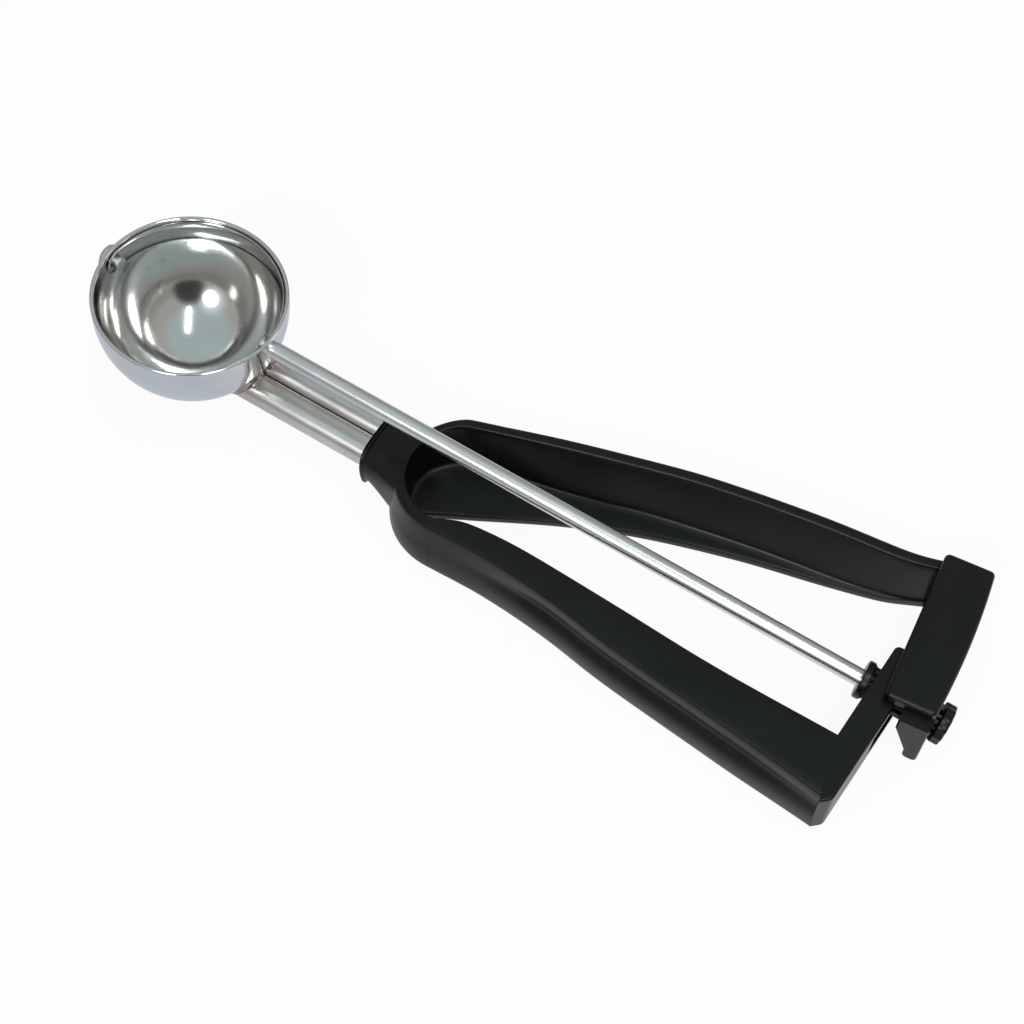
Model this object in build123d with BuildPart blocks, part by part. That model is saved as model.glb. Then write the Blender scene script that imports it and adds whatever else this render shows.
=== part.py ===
from build123d import *
import os
from math import acos, atan, cos, degrees, pi, radians, sin, tan

# Lever ice cream scoop with a one-piece squeeze handle, in millimetres.
# X runs from the bowl to the end block, and Z is up from the plane that the handle lies on.
# The origin is under the middle of the handle's bend. The rod leans down towards the handle.
# The handle is one moulding; it is cut at the bend and beside the racks so that the arms can swing.

# ---- driving dimensions ----
ROD_TILT = 7.4          # the rod's slope against the handle, in degrees
RACK_AXIS = 6.23        # rod axis above the table at the rear rack
ROD_R = 2.0
RUNNING = 0.06          # radial clearance of a turning fit
SEATED = 0.02           # clearance between pieces that are fixed together
GAP = 0.3               # clearance between faces that move past each other

BOWL_S = -59.3          # bowl centre, measured along the rod from above the origin
BOWL_R = 22.0           # outer radius
BOWL_WALL = 0.9
RIM_UP = 3.8            # straight band from the rod's axis up to the rim
RIM_ROUND = 0.15

BLADE_WALL = 0.6
BLADE_WIDTH = 6.0
BLADE_FREE = 0.4        # gap between the blade's edges and the bowl

TENON_R = 1.2           # riveted end of the rod
TENON_HEAD_R = 1.8
TENON_HEAD = 0.8
RIVET_R = 1.25
RIVET_HEAD_R = 3.2
RIVET_HEAD = 1.5
RIVET_TAIL_R = 1.8
RIVET_TAIL = 0.7
RIVET_ROUND = 0.7       # the heads' rounding, as a share of their height
DRILL = 2.7             # reach of the holes through the bowl's wall, to each side

SHANK_DROP = 13.5       # shank axis below the rod's axis
SHANK_LOBE_W = 7.3
SHANK_LOBE_H = 6.4
SHANK_LOBE_ROUND = 3.1
SHANK_LOBE_Y = 3.55     # centre of each rolled lobe
SHANK_SHEET = 1.1
SHANK_SEAM = 0.3
SHANK_REACH = 12.1      # from the bowl's middle to the nearest point of the shank's end
SHANK_BEND_COVER = 1.2  # plastic left between the shank's end and the hand side of the bend
BRAZE_OUT = 1.0         # the braze's reach over the shank
BRAZE_UP = 1.6          # the braze's reach over the bowl

ARM_H = 14.0            # height of the handle
BEND_X = 12.7           # hinge line of both arms
BEND_R = 16.0           # round front of the bend
BEND_NEAR_OUT = 0.3     # the bend's side at the near arm lies this much further out than its front's radius
BEND_FAR_IN = 0.4       # its side at the far arm lies this much further in
BEND_CORNER_IN = 3.7    # the turn into the far arm is this much tighter
BEND_LEG = 15.0         # the far arm's first slope, in degrees
BEND_WALL = 2.9
BEND_FOOT = 1.2         # how far the lower band stands out at the front
FLOOR = 2.6
FLOOR_Y = -2.8          # the floor's free edge at the hinge line, and its slope in degrees
FLOOR_LEAN = 22.5
FLOOR_EASE = 0.4        # the far arm's floor stays this far behind the cut at its free edge
WEB = 3.1
FLANGE = 3.0
RIB_OUT = 2.1           # how far the lower band of each arm stands out
RIB_H = 7.6
EDGE_ROUND = 0.9
FOOT_ROUND = 0.5        # rounding along the handle's lower edges
SPLIT = 0.02            # gap at the cut between bend and arm

SOCKET_X = -10.2        # front of the socket
SOCKET_WALL = 1.7
SOCKET_ROUND = 4.0
NECK_X = 2.0            # where the neck has widened into the bend
NECK_STEPS = ((0.0, 0.0), (0.3, 0.02), (0.65, 0.25), (1.0, 1.0))  # share of the way and of the widening
NECK_INSET = 0.35       # the neck's end lies this far inside the bend's faces

SQUEEZE = 5.0           # swing of the near arm, in degrees
MODULE = 0.8
PINION_TEETH = 8
PRESSURE = 25.0
PINION_OUT = 0.6        # tooth height outside the pitch circle
PINION_IN = 0.75
RACK_OUT = 0.5
RACK_IN = 0.8
PINION_SLACK = 0.12     # teeth thinned by this at the pitch line
RACK_SLACK = 0.18
RACK_FACE = 3.0         # width of the toothed strip
FLANK_POINTS = 4

BAR_S = 115.5           # middle of the rack bar, along the rod
BAR_THICK = 6.4
BAR_LEAN = 5.8          # the bar's slant in plan, in degrees
BAR_TIP = 7.6           # bar tip beyond the rod's axis
BAR_BASE = 0.6
BAR_AHEAD = 2.3         # the near arm's outer corner lies this far in front of the bar's middle
BAR_INNER = -16.9       # where the near arm's flange meets the bar
BAR_CUT = 1.8           # slant of the bar's end behind the near arm
BAR_ROUND = 1.8
RACK_STEP = 8.5         # from there to the middle of the end block's rear wall
WALL_THICK = 4.1
WALL_TIP = -12.7        # the tongue's near side at mid-stroke
WALL_BASE = 0.4
WALL_FOOT = 3.1         # thickness of the rear wall's foot
WALL_TAPER = 7.0        # height of the part that narrows to the foot
TONGUE_THICK = 3.4
TONGUE_OUT = 2.35       # how far the tongue's top stands out in front of the rear wall
TONGUE_TOP = 10.5       # height at which it starts to slope back
TOE_ROUND = 1.0         # rounding of the rear wall's foot
COLLAR_R = 4.3
COLLAR_LONG = 1.6
COLLAR_CHAMFER = 0.25
COLLAR_GAP = 1.4        # room in front of the rack bar for its slant and its swing
KNOB_R = 4.7
KNOB_LONG = 2.3
KNOB_CAP = 1.0          # thickness that closes the knob behind the rod
KNOB_GAP = 0.85         # room behind the rear wall for its swing
KNOB_SPAN = 12          # grip notches round the knob
KNOB_NOTCH_R = 0.7
ROD_FLAT = 0.5          # depth of the flat that drives the pinion

PLATE = 2.5             # top plate of the end block
PLATE_LONG = 10.95      # the block's outline is set at mid-stroke, when the racks are square
PLATE_BULGE = 0.9
PLATE_NEAR = -9.8
PLATE_FAR = 28.0
PLATE_LAP = 0.45        # the far arm's outline stops this far in front of the block
FLOOR_SHORT = 6.05      # and its floor this far
CHEEK = 5.4             # thickness of the block's wall on the far arm
CORNER_ROUND = 1.2      # the block's and the bar's upright corners
RULE_W = 0.5
RULE_H = 0.25
RULES = ((1.95, 22.0, 2.0), (7.85, 21.0, 11.5))  # two raised lines: place behind the front, and ends

# ---- outlines in plan ----
ROD_DIR = Vector(cos(radians(ROD_TILT)), 0, -sin(radians(ROD_TILT)))
ROD_UP = Vector(sin(radians(ROD_TILT)), 0, cos(radians(ROD_TILT)))
WALL_S = BAR_S + RACK_STEP
PLATE_BACK = (WALL_S + WALL_THICK / 2) * ROD_DIR.X
PLATE_FRONT = PLATE_BACK - PLATE_LONG
BAR_X = BAR_S * ROD_DIR.X
BEND_NEAR = BEND_R + BEND_NEAR_OUT
BEND_FAR = BEND_R - BEND_FAR_IN
BEND_CORNER = BEND_R - BEND_CORNER_IN
NEAR_OUT = (
    (BEND_X, -BEND_NEAR),
    (27.0, -16.7),
    (44.0, -18.9),
    (60.0, -22.3),
    (95.0, -27.8),
    (BAR_X - BAR_AHEAD, -31.2),
)
NEAR_RIB = (1.0, 1.0, 1.0, 1.0, 1.0, 0.5)                  # share of RIB_OUT at each point
NEAR_WALL = (BEND_WALL / WEB, 1.0, 1.0, 1.0, 1.0, 1.2)     # share of WEB at each point
NEAR_FLANGE = (
    (BEND_X, BEND_WALL - BEND_NEAR),
    (22.8, -11.0),
    (37.8, -11.1),
    (58.3, -12.9),
    (81.0, -15.3),
)
FAR_OUT = (
    (BEND_X, BEND_FAR),
    (27.0, 19.5),
    (44.0, 23.4),
    (60.0, 26.6),
    (86.0, 29.8),
    (PLATE_FRONT - PLATE_LAP, 30.9),
)
FAR_RIB = (0.3, 1.0, 1.0, 1.0, 1.0, 0.3)
FAR_WALL = (BEND_WALL / WEB, 1.0, 1.0, 1.0, 1.0, 1.3)
FAR_FLOOR = (
    (BEND_X + FLOOR_EASE, FLOOR_Y),
    (25.4, 2.3),
    (34.0, 5.8),
    (51.4, 12.1),
    (73.0, 17.8),
    (92.0, 21.3),
    (PLATE_FRONT - FLOOR_SHORT, 24.9),
)
BAND_IN = 2.2           # how deep the lower band's solid reaches into the web

# ---- what follows from them ----
BOWL_IN = BOWL_R - BOWL_WALL
BLADE_R = ((BOWL_IN - BLADE_FREE) ** 2 - (BLADE_WIDTH / 2) ** 2) ** 0.5
PITCH_R = MODULE * PINION_TEETH / 2
BASE_R = PITCH_R * cos(radians(PRESSURE))
TIP_R = PITCH_R + PINION_OUT
ROOT_R = PITCH_R - PINION_IN
RACK_ROOT = PITCH_R + RACK_IN
SLOT_R = TIP_R + GAP
ROD_HEIGHT = RACK_AXIS - WALL_S * ROD_DIR.Z
BEND_UPPER = (BEND_NEAR, BEND_R, BEND_FAR, BEND_CORNER)
BEND_LOWER = (
    BEND_NEAR + NEAR_RIB[0] * RIB_OUT,
    BEND_R + BEND_FOOT,
    BEND_FAR + FAR_RIB[0] * RIB_OUT,
    BEND_CORNER + BEND_FOOT,
)
BEND_HAND = (BEND_NEAR - BEND_WALL, BEND_R - BEND_WALL, BEND_FAR - BEND_WALL, BEND_CORNER - BEND_WALL)
BAR_ARM = BAR_X - BEND_X
WALL_ARM = WALL_S * ROD_DIR.X - BEND_X
STROKE = 2 * BAR_ARM * tan(radians(SQUEEZE / 2))
FAR_SQUEEZE = 2 * degrees(atan(STROKE / 2 / WALL_ARM))
SWEEP = degrees(STROKE / PITCH_R)
SLOT_HALF = STROKE / 2 + SLOT_R
BLOCK_TOP = ARM_H + GAP + PLATE
COLLAR_S = BAR_S - BAR_THICK / 2 - COLLAR_GAP - COLLAR_LONG
KNOB_S = WALL_S + WALL_THICK / 2 + KNOB_GAP


def rod_point(along, up=0.0):
    """The point so far along the rod's axis, and so far above it."""
    return Vector(0, 0, ROD_HEIGHT) + ROD_DIR * along + ROD_UP * up


def across_rod(along, up=0.0):
    """The plane square to the rod, with x to the far arm and y up."""
    return Plane(origin=rod_point(along, up), x_dir=(0, 1, 0), z_dir=ROD_DIR)


def swung(plane, angle):
    """The plane turned about the arms' hinge line, by an angle in degrees."""
    turn = Location((BEND_X, 0, 0)) * Location((0, 0, 0), (0, 0, angle)) * Location((-BEND_X, 0, 0))
    return Plane(turn * plane.location)


def moved_in(points, shares, step):
    """Points of an outline moved along Y by a share of the step."""
    return [(x, y + share * step) for (x, y), share in zip(points, shares)]


def plan_band(outer, inner):
    """The closed outline between two smooth curves in plan, with straight ends."""
    with BuildLine() as outline:
        Spline(*outer)
        Spline(*inner)
        Line(outer[0], inner[0])
        Line(outer[-1], inner[-1])
    make_face(outline.edges())


def bend_rise(front, far, corner):
    """How far beyond the rod's plane the turn into the far arm has its centre."""
    leg = front - corner * (1 - sin(radians(BEND_LEG)))
    return far - corner * cos(radians(BEND_LEG)) - leg * tan(radians(BEND_LEG))


def bend_outline(near, front, far, corner):
    """The bend in plan: a round front, a tighter turn and a sloping leg, closed at the hinge line."""
    with BuildLine() as outline:
        round_front = CenterArc((BEND_X, front - near), front, 180, 90)
        middle = (BEND_X - front + corner, bend_rise(front, far, corner))
        turn = CenterArc(middle, corner, 90 + BEND_LEG, 90 - BEND_LEG)
        Line(round_front @ 0, turn @ 1)
        Line(turn @ 0, (BEND_X, far))
        Line((BEND_X, far), round_front @ 1)
    make_face(outline.edges())


def bend_sides(along, near, front, far, corner):
    """The two sides of the bend's outline at one place on its front half."""
    low = front - near - (front**2 - (BEND_X - along) ** 2) ** 0.5
    high = bend_rise(front, far, corner) + (corner**2 - (BEND_X - front + corner - along) ** 2) ** 0.5
    return low, high


def mix(start, stop, share):
    """The value so far along from start to stop."""
    return start + share * (stop - start)


def along_arm(arm, height):
    """The long edges of an arm at one height, in order across it."""
    long = arm.edges().filter_by(lambda edge: edge.length > BAR_ARM / 2)
    return long.filter_by(lambda edge: abs(edge.center().Z - height) < SEATED).sort_by(Axis.Y)


def gear_outline():
    """The pinion's teeth at rest, half a sweep past the tooth space at the top: involute flanks on roots."""
    half = (pi * MODULE / 2 - PINION_SLACK) / (2 * PITCH_R)
    flank = []
    for step in range(FLANK_POINTS + 1):
        radius = BASE_R + (TIP_R - BASE_R) * step / FLANK_POINTS
        flank.append((radius, half + involute(PITCH_R) - involute(radius)))
    side = [(ROOT_R, flank[0][1]), *flank]
    points = []
    for tooth in range(PINION_TEETH):
        middle = pi / 2 + radians(SWEEP / 2) - (tooth + 0.5) * 2 * pi / PINION_TEETH
        points += [(radius * cos(middle + turn), radius * sin(middle + turn)) for radius, turn in side]
        points += [(radius * cos(middle - turn), radius * sin(middle - turn)) for radius, turn in side[::-1]]
    return points


def involute(radius):
    """The involute's polar angle at a radius, in radians."""
    pressure = acos(min(1.0, BASE_R / radius))
    return tan(pressure) - pressure


def rack_window(up):
    """A window for the pinion: plain on one side, toothed on the side that up points to."""
    lean = tan(radians(PRESSURE))
    half = (pi * MODULE / 2 - RACK_SLACK) / 2
    pitch = pi * MODULE
    teeth = range(-int(SLOT_HALF / pitch) - 1, int(SLOT_HALF / pitch) + 2)
    root = half + lean * RACK_IN
    tip = half - lean * RACK_OUT
    with Locations((0, up * (RACK_ROOT - SLOT_R) / 2)):
        Rectangle(2 * SLOT_HALF, RACK_ROOT + SLOT_R)
    for tooth in teeth:
        middle = tooth * pitch
        with BuildLine() as outline:
            Polyline(
                (middle - root, up * RACK_ROOT),
                (middle - tip, up * (PITCH_R - RACK_OUT)),
                (middle + tip, up * (PITCH_R - RACK_OUT)),
                (middle + root, up * RACK_ROOT),
                close=True,
            )
        make_face(outline.edges(), mode=Mode.SUBTRACT)


def cut_window(square, up):
    """Cut the window through a rack, with teeth along its middle strip alone."""
    with BuildSketch(square) as toothed:
        rack_window(up)
    extrude(toothed.sketch, amount=RACK_FACE / 2, both=True, mode=Mode.SUBTRACT)
    for side in (-1, 1):
        with BuildSketch(square.offset(side * RACK_FACE / 2)) as plain:
            with Locations((0, up * (RACK_ROOT - SLOT_R) / 2)):
                Rectangle(2 * SLOT_HALF, RACK_ROOT + SLOT_R)
        extrude(plain.sketch, amount=side * BAR_THICK, mode=Mode.SUBTRACT)


def keyed_bore():
    """The rod's outline with its driving flat, eased by the seating clearance."""
    Circle(ROD_R + SEATED)
    with Locations((0, ROD_R - ROD_FLAT + SEATED)):
        Rectangle(4 * ROD_R, ROD_R, align=(Align.CENTER, Align.MIN), mode=Mode.SUBTRACT)


def save(solid, label):
    """Label the finished piece and write it."""
    solid.label = label
    export_step(solid, f"parts/{label}.step")


os.makedirs("parts", exist_ok=True)

# ---- bowl: a half ball with a short straight band, drilled for the rod and the pivot rivet ----
bowl_side = Plane(origin=rod_point(BOWL_S), x_dir=ROD_DIR, z_dir=(0, -1, 0))
bowl_axis = Axis(rod_point(BOWL_S), ROD_UP)
with BuildPart() as bowl:
    with BuildSketch(bowl_side):
        with BuildLine():
            Line((0, -BOWL_IN), (0, -BOWL_R))
            CenterArc((0, 0), BOWL_R, -90, 90)
            Line((BOWL_R, 0), (BOWL_R, RIM_UP))
            Line((BOWL_R, RIM_UP), (BOWL_IN, RIM_UP))
            Line((BOWL_IN, RIM_UP), (BOWL_IN, 0))
            CenterArc((0, 0), BOWL_IN, -90, 90)
        make_face()
    revolve(axis=bowl_axis)
    rim = bowl.faces().sort_by(bowl_axis)[-1]
    fillet(rim.edges(), RIM_ROUND)
    with BuildSketch(across_rod(BOWL_S + BOWL_R)):
        Circle(ROD_R + RUNNING)
    extrude(amount=DRILL, both=True, mode=Mode.SUBTRACT)
    with BuildSketch(across_rod(BOWL_S - BOWL_R)):
        Circle(RIVET_R + RUNNING)
    extrude(amount=DRILL, both=True, mode=Mode.SUBTRACT)
save(bowl.part, "bowl")

# ---- scraper blade: a half ring with round ends, riveted to the rod and to the pivot ----
blade_lap = degrees(BLADE_WIDTH / 2 / BLADE_R)
blade_start = Vector(cos(radians(blade_lap)), -sin(radians(blade_lap)), 0)
blade_x = ROD_DIR * blade_start.X + Vector(0, 1, 0) * blade_start.Y
with BuildPart() as scraper_blade:
    with BuildSketch(Plane(origin=rod_point(BOWL_S), x_dir=blade_x, z_dir=blade_x.cross(ROD_UP))):
        with Locations((BLADE_R, 0)):
            Rectangle(BLADE_WALL, BLADE_WIDTH, align=(Align.MAX, Align.CENTER))
    revolve(axis=bowl_axis, revolution_arc=180 + 2 * blade_lap)
    corners = [edge for edge in scraper_blade.edges() if abs(edge.length - BLADE_WALL) < SEATED]
    fillet(corners, BLADE_WIDTH / 2 - GAP)
    with BuildSketch(across_rod(BOWL_S)):
        Circle(TENON_R + SEATED)
    extrude(amount=BOWL_R, mode=Mode.SUBTRACT)
    with BuildSketch(across_rod(BOWL_S)):
        Circle(RIVET_R + SEATED)
    extrude(amount=-BOWL_R, mode=Mode.SUBTRACT)
save(scraper_blade.part, "scraper_blade")

# ---- rod: shouldered at the blade, riveted over inside it, with a flat for the pinion ----
rod_start = BOWL_S + BLADE_R + SEATED
rod_end = KNOB_S + KNOB_LONG - KNOB_CAP
rod_line = Axis(rod_point(0), ROD_DIR)
tenon_start = BOWL_S + ((BLADE_R - BLADE_WALL) ** 2 - TENON_HEAD_R**2) ** 0.5 - SEATED
with BuildPart() as rod:
    with BuildSketch(across_rod(rod_start)):
        Circle(ROD_R)
    extrude(amount=rod_end - rod_start)
    chamfer(rod.faces().sort_by(rod_line)[-1].edges(), ROD_FLAT / 2)
    with BuildSketch(across_rod(tenon_start - TENON_HEAD)):
        Circle(TENON_R)
    extrude(amount=rod_start - tenon_start + TENON_HEAD)
    with BuildSketch(across_rod(tenon_start - TENON_HEAD)):
        Circle(TENON_HEAD_R)
    extrude(amount=TENON_HEAD)
    fillet(rod.faces().sort_by(rod_line)[0].edges(), TENON_HEAD / 2)
    with BuildSketch(across_rod(COLLAR_S, ROD_R)):
        Rectangle(ROD_R * 2, ROD_FLAT * 2)
    extrude(amount=rod_end - COLLAR_S, mode=Mode.SUBTRACT)
save(rod.part, "rod")

# ---- pivot rivet: turns in the bowl's far hole, with a round head outside ----
pivot_face = BOWL_S - BOWL_R - GAP / 2
tail_face = BOWL_S - ((BLADE_R - BLADE_WALL) ** 2 - RIVET_TAIL_R**2) ** 0.5 + SEATED
with BuildPart() as pivot_rivet:
    with BuildSketch(across_rod(pivot_face - RIVET_HEAD)):
        Circle(RIVET_HEAD_R)
    extrude(amount=RIVET_HEAD)
    fillet(pivot_rivet.faces().sort_by(rod_line)[0].edges(), RIVET_HEAD * RIVET_ROUND)
    with BuildSketch(across_rod(pivot_face)):
        Circle(RIVET_R)
    extrude(amount=tail_face - pivot_face)
    with BuildSketch(across_rod(tail_face)):
        Circle(RIVET_TAIL_R)
    extrude(amount=RIVET_TAIL)
    fillet(pivot_rivet.faces().sort_by(rod_line)[-1].edges(), RIVET_TAIL * RIVET_ROUND)
save(pivot_rivet.part, "pivot_rivet")


def lobes(grow=0.0):
    """The shank's outline: two rolled lobes side by side on a flat back, grown by an offset."""
    with Locations((-SHANK_LOBE_Y, 0), (SHANK_LOBE_Y, 0)):
        RectangleRounded(SHANK_LOBE_W + 2 * grow, SHANK_LOBE_H + 2 * grow, SHANK_LOBE_ROUND + grow)
    with Locations((0, -SHANK_LOBE_H / 2 - grow)):
        Rectangle(2 * SHANK_LOBE_Y, SHANK_LOBE_H / 2, align=(Align.CENTER, Align.MIN))


# ---- shank: sheet steel rolled into two lobes that meet at a seam, cut to the bowl ----
shank_start = BOWL_S + SHANK_REACH
hand_side = BEND_X - BEND_R + BEND_WALL
shank_top = (hand_side - SHANK_BEND_COVER - ROD_UP.X * (SHANK_LOBE_H / 2 - SHANK_DROP)) / ROD_DIR.X
shank_long = shank_top - shank_start
with BuildPart() as shank:
    with BuildSketch(across_rod(shank_start, -SHANK_DROP)):
        lobes()
    extrude(amount=shank_long)
    with BuildSketch(across_rod(shank_start, -SHANK_DROP)):
        lobes(-SHANK_SHEET)
    extrude(amount=shank_long, mode=Mode.SUBTRACT)
    with BuildSketch(across_rod(shank_start, -SHANK_DROP)):
        Rectangle(SHANK_SEAM, SHANK_LOBE_H, align=(Align.CENTER, Align.MIN))
    extrude(amount=shank_long, mode=Mode.SUBTRACT)
    with Locations(rod_point(BOWL_S)):
        Sphere(BOWL_R + SEATED, mode=Mode.SUBTRACT)
save(shank.part, "shank")

# ---- braze: the bead that fills the corner between the bowl and the shank ----
with BuildPart() as braze:
    with BuildSketch(across_rod(shank_start, -SHANK_DROP)):
        lobes(BRAZE_OUT)
        lobes(SEATED)
    extrude(amount=BOWL_R)
    with BuildSketch(across_rod(shank_start, -SHANK_DROP)):
        lobes(SEATED)
    extrude(amount=BOWL_R, mode=Mode.SUBTRACT)
    with Locations(rod_point(BOWL_S)):
        Sphere(BOWL_R + BRAZE_UP, mode=Mode.INTERSECT)
        Sphere(BOWL_R + SEATED, mode=Mode.SUBTRACT)
save(braze.part, "braze")

# ---- neck: the socket flaring into the bend, one shape for the yoke to start from ----
socket_h = SHANK_LOBE_H + 2 * SOCKET_WALL
socket_w = 2 * SHANK_LOBE_Y + SHANK_LOBE_W + 2 * SOCKET_WALL
socket_z = ROD_HEIGHT - (SHANK_DROP - SOCKET_X * ROD_DIR.Z) / ROD_DIR.X
low_near, low_far = bend_sides(NECK_X, *BEND_LOWER)
high_near, high_far = bend_sides(NECK_X, *BEND_UPPER)
with BuildPart() as neck:
    for share, flare in NECK_STEPS:
        low = mix(socket_z - socket_h / 2, NECK_INSET, flare)
        high = mix(socket_z + socket_h / 2, ARM_H - NECK_INSET, flare)
        section_at = Plane(origin=(mix(SOCKET_X, NECK_X, share), 0, 0), x_dir=(0, 1, 0), z_dir=(1, 0, 0))
        with BuildSketch(section_at) as section:
            Polygon(
                (mix(-socket_w / 2, low_near + NECK_INSET, flare), low),
                (mix(socket_w / 2, low_far - NECK_INSET, flare), low),
                (mix(socket_w / 2, high_far - NECK_INSET, flare), high),
                (mix(-socket_w / 2, high_near + NECK_INSET, flare), high),
                align=None,
            )
            fillet(section.vertices(), mix(SOCKET_ROUND, EDGE_ROUND, flare))
    loft()
    fillet(neck.faces().sort_by(Axis.X)[0].edges(), SOCKET_WALL / 2)

# ---- handle yoke: the socket on the shank and the bend of the handle, with its floor ----
with BuildPart() as handle_yoke:
    with BuildSketch(Plane.XY) as lower_band:
        bend_outline(*BEND_LOWER)
    extrude(amount=RIB_H)
    with BuildSketch(Plane.XY) as upper_band:
        bend_outline(*BEND_UPPER)
    extrude(amount=ARM_H)
    before_arms = handle_yoke.edges().filter_by(lambda edge: edge.center().X < BEND_X - SEATED)
    fillet(before_arms.group_by(Axis.Z)[-1], EDGE_ROUND)
    fillet(before_arms.group_by(Axis.Z)[0], FOOT_ROUND)
    add(neck.part)
    with BuildSketch(Plane.XY.offset(FLOOR)):
        bend_outline(*BEND_HAND)
    extrude(amount=ARM_H + socket_h, mode=Mode.SUBTRACT)
    with BuildSketch(Plane.XY):
        bend_outline(*BEND_HAND)
        with Locations(Location((BEND_X, FLOOR_Y, 0), (0, 0, FLOOR_LEAN))):
            Rectangle(4 * BEND_R, 2 * BEND_R, align=(Align.CENTER, Align.MIN), mode=Mode.SUBTRACT)
    extrude(amount=FLOOR, mode=Mode.SUBTRACT)
    with BuildSketch(across_rod(shank_start, -SHANK_DROP)):
        lobes(SEATED)
    extrude(amount=shank_long + SEATED, mode=Mode.SUBTRACT)
save(handle_yoke.part, "handle_yoke")

# ---- near arm: a web with a flange along its top, which widens towards the rack bar ----
bar_lean = tan(radians(BAR_LEAN))
bar_front = rod_point(BAR_S - BAR_THICK / 2).X
bar_back = rod_point(BAR_S + BAR_THICK / 2).X
near_foot = moved_in(NEAR_OUT, NEAR_RIB, -RIB_OUT)
near_tip = near_foot[-1]
near_inner = (bar_front + bar_lean * BAR_INNER, BAR_INNER)
near_end = Plane(
    origin=near_inner,
    x_dir=(0, 0, 1),
    z_dir=(near_inner[1] - near_tip[1], near_tip[0] - near_inner[0], 0),
)
with BuildPart() as near_arm:
    with BuildSketch(Plane.XY):
        plan_band(NEAR_OUT, moved_in(NEAR_OUT, NEAR_WALL, WEB))
    extrude(amount=ARM_H)
    with BuildSketch(Plane.XY):
        plan_band(near_foot, moved_in(NEAR_OUT, NEAR_WALL, BAND_IN))
    extrude(amount=RIB_H)
    with BuildSketch(Plane.XY.offset(ARM_H - FLANGE)):
        plan_band(NEAR_OUT, (*NEAR_FLANGE, near_inner))
    extrude(amount=FLANGE)
    split(bisect_by=near_end.offset(-SEATED), keep=Keep.BOTTOM)
    split(bisect_by=Plane.YZ.offset(BEND_X + SPLIT), keep=Keep.TOP)
    fillet(along_arm(near_arm, ARM_H), EDGE_ROUND)
    fillet(along_arm(near_arm, 0), FOOT_ROUND)
save(near_arm.part, "near_arm")

# ---- far arm: a web with a floor that narrows towards the end block ----
far_foot = moved_in(FAR_OUT, FAR_RIB, RIB_OUT)
far_mid = swung(Plane.XY, FAR_SQUEEZE / 2)
with BuildPart() as far_arm:
    with BuildSketch(Plane.XY):
        plan_band(FAR_OUT, moved_in(FAR_OUT, FAR_WALL, -WEB))
    extrude(amount=ARM_H)
    with BuildSketch(Plane.XY):
        plan_band(far_foot, moved_in(FAR_OUT, FAR_WALL, -BAND_IN))
    extrude(amount=RIB_H)
    with BuildSketch(Plane.XY):
        plan_band(FAR_OUT, FAR_FLOOR)
    extrude(amount=FLOOR)
    split(bisect_by=Plane.YZ.offset(BEND_X + SPLIT), keep=Keep.TOP)
    fillet(along_arm(far_arm, ARM_H), EDGE_ROUND)
    fillet(along_arm(far_arm, 0)[-1], FOOT_ROUND)
    fillet(along_arm(far_arm, FLOOR)[0], FOOT_ROUND)
    with BuildSketch(far_mid):
        with Locations((PLATE_FRONT - SEATED, 0)):
            Rectangle(BEND_R, 4 * BEND_R, align=(Align.MIN, Align.CENTER))
    extrude(amount=ARM_H, mode=Mode.SUBTRACT)
save(far_arm.part, "far_arm")

# ---- rack bar: crosses under the end block, with a window toothed along its top ----
with BuildPart() as rack_bar:
    with BuildSketch(Plane.XY.offset(BAR_BASE)):
        with BuildLine():
            Polyline(
                near_inner,
                (bar_front + bar_lean * BAR_TIP, BAR_TIP),
                (bar_back + bar_lean * BAR_TIP, BAR_TIP),
                (bar_back + bar_lean * near_tip[1], near_tip[1] + BAR_CUT),
                near_tip,
                close=True,
            )
        make_face()
    extrude(amount=ARM_H - BAR_BASE)
    fillet(rack_bar.edges().filter_by(Axis.Z).sort_by(Axis.Y)[-2:], CORNER_ROUND)
    fillet(rack_bar.edges().filter_by(Axis.Z).sort_by(Axis.Y)[1], BAR_ROUND)
    rear = rack_bar.faces().filter_by(lambda face: face.normal_at().X > 0).sort_by(SortBy.AREA)[-1]
    fillet(rear.edges().filter_by(Plane.XY), FOOT_ROUND)
    cut_window(swung(across_rod(BAR_S), -SQUEEZE / 2), 1)
save(rack_bar.part, "rack_bar")

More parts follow.
